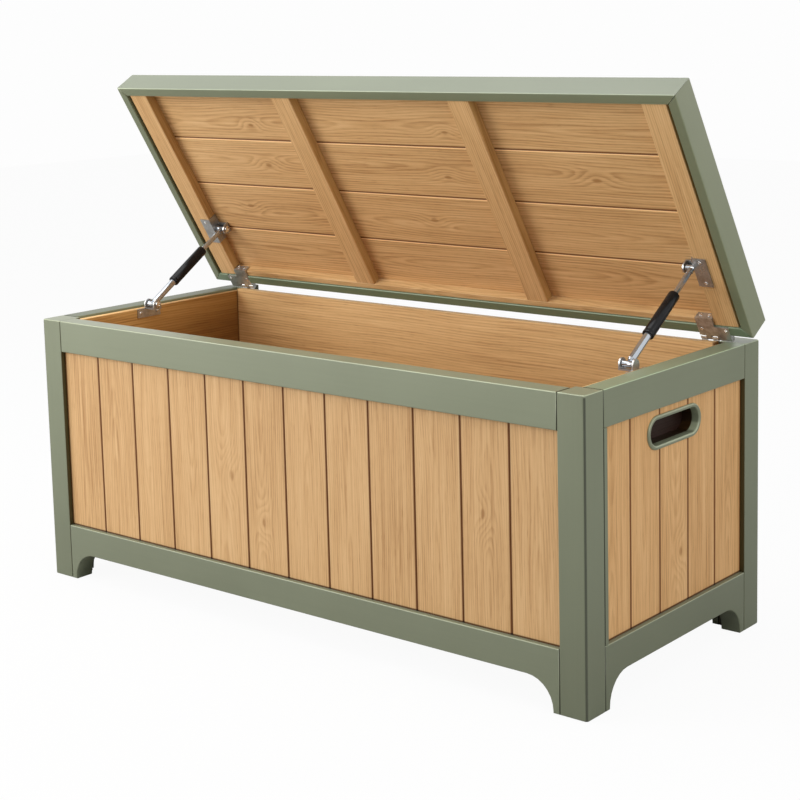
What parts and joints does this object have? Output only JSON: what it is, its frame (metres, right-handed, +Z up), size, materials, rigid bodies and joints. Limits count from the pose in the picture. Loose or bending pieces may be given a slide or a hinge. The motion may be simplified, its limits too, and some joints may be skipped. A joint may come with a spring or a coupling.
{
  "type": "garden storage chest",
  "caption": "Low timber storage chest with a slatted body on bracket feet, finger-slot handles and a hinged lid held open by telescopic struts.",
  "frame": {"origin": "on the ground, in the middle of the chest's footprint", "axes": "+X to the right seen from the front, along the long side; +Y to the back, where the hinges are; +Z up"},
  "size_m": [1.2776, 0.53, 0.9517],
  "materials": {
    "sage_paint": "satin paint",
    "oak": "oiled",
    "satin_steel": "satin",
    "chrome": "polished",
    "black_paint": "satin"
  },
  "bodies": {
    "body": {"front_left_post": "sage_paint", "front_right_post": "sage_paint", "back_left_post": "sage_paint", "back_right_post": "sage_paint", "front_top_rail": "sage_paint", "back_top_rail": "sage_paint", "left_top_rail": "sage_paint", "right_top_rail": "sage_paint", "front_bottom_rail": "sage_paint", "back_bottom_rail": "sage_paint", "left_bottom_rail": "sage_paint", "right_bottom_rail": "sage_paint", "front_slat_01": "oak", "front_slat_02": "oak", "front_slat_03": "oak", "front_slat_04": "oak", "front_slat_05": "oak", "front_slat_06": "oak", "front_slat_07": "oak", "front_slat_08": "oak", "front_slat_09": "oak", "front_slat_10": "oak", "front_slat_11": "oak", "front_slat_12": "oak", "left_end_panel": "oak", "right_end_panel": "oak", "back_panel": "oak", "left_handle_trim": "sage_paint", "right_handle_trim": "sage_paint", "left_end_stile": "sage_paint", "right_end_stile": "sage_paint", "front_liner": "oak", "back_liner": "oak", "left_liner": "oak", "right_liner": "oak", "floor_panel": "oak", "left_hinge_body_leaf": "satin_steel", "right_hinge_body_leaf": "satin_steel", "left_strut_body_bracket": "satin_steel", "right_strut_body_bracket": "satin_steel"},
    "lid": {"lid_front_rail": "sage_paint", "lid_back_rail": "sage_paint", "lid_left_rail": "sage_paint", "lid_right_rail": "sage_paint", "lid_panel": "oak", "lid_batten_1": "oak", "lid_batten_2": "oak", "lid_batten_3": "oak", "lid_batten_4": "oak", "lid_cleat": "oak", "left_hinge_lid_leaf": "satin_steel", "right_hinge_lid_leaf": "satin_steel", "left_strut_lid_bracket": "satin_steel", "right_strut_lid_bracket": "satin_steel"},
    "left_stage": {"left_strut_lower_stage": "chrome"},
    "left_tube": {"left_strut_tube": "black_paint"},
    "left_rod": {"left_strut_upper_rod": "chrome"},
    "right_stage": {"right_strut_lower_stage": "chrome"},
    "right_tube": {"right_strut_tube": "black_paint"},
    "right_rod": {"right_strut_upper_rod": "chrome"}
  },
  "joints": [
    {"name": "lid_hinge", "type": "hinge", "parent": "body", "child": "lid", "pos_m": [0, 0.218, 0.506], "axis": [-1, 0, 0], "range_deg": [-59, 0]},
    {"name": "left_strut_swing", "type": "hinge", "parent": "body", "child": "left_stage", "pos_m": [-0.5559, -0.045, 0.503], "axis": [1, 0, 0], "range_deg": [-28.73, 0]},
    {"name": "left_tube_slide", "type": "slide", "parent": "left_stage", "child": "left_tube", "axis": [0, 0.8341, 0.5516], "range_m": [-0.0569, 0]},
    {"name": "left_rod_slide", "type": "slide", "parent": "left_tube", "child": "left_rod", "axis": [0, 0.8341, 0.5516], "range_m": [-0.0569, 0]},
    {"name": "right_strut_swing", "type": "hinge", "parent": "body", "child": "right_stage", "pos_m": [0.5559, -0.045, 0.503], "axis": [1, 0, 0], "range_deg": [-28.73, 0]},
    {"name": "right_tube_slide", "type": "slide", "parent": "right_stage", "child": "right_tube", "axis": [0, 0.8341, 0.5516], "range_m": [-0.0569, 0]},
    {"name": "right_rod_slide", "type": "slide", "parent": "right_tube", "child": "right_rod", "axis": [0, 0.8341, 0.5516], "range_m": [-0.0569, 0]}
  ],
  "couplings": [
    {"joint": "left_strut_swing", "follows": "lid_hinge", "ratio": 0.48665},
    {"joint": "left_tube_slide", "follows": "lid_hinge", "m_per_rad": 0.055248},
    {"joint": "left_rod_slide", "follows": "lid_hinge", "m_per_rad": 0.055248},
    {"joint": "right_strut_swing", "follows": "lid_hinge", "ratio": 0.48665},
    {"joint": "right_tube_slide", "follows": "lid_hinge", "m_per_rad": 0.055248},
    {"joint": "right_rod_slide", "follows": "lid_hinge", "m_per_rad": 0.055248}
  ]
}
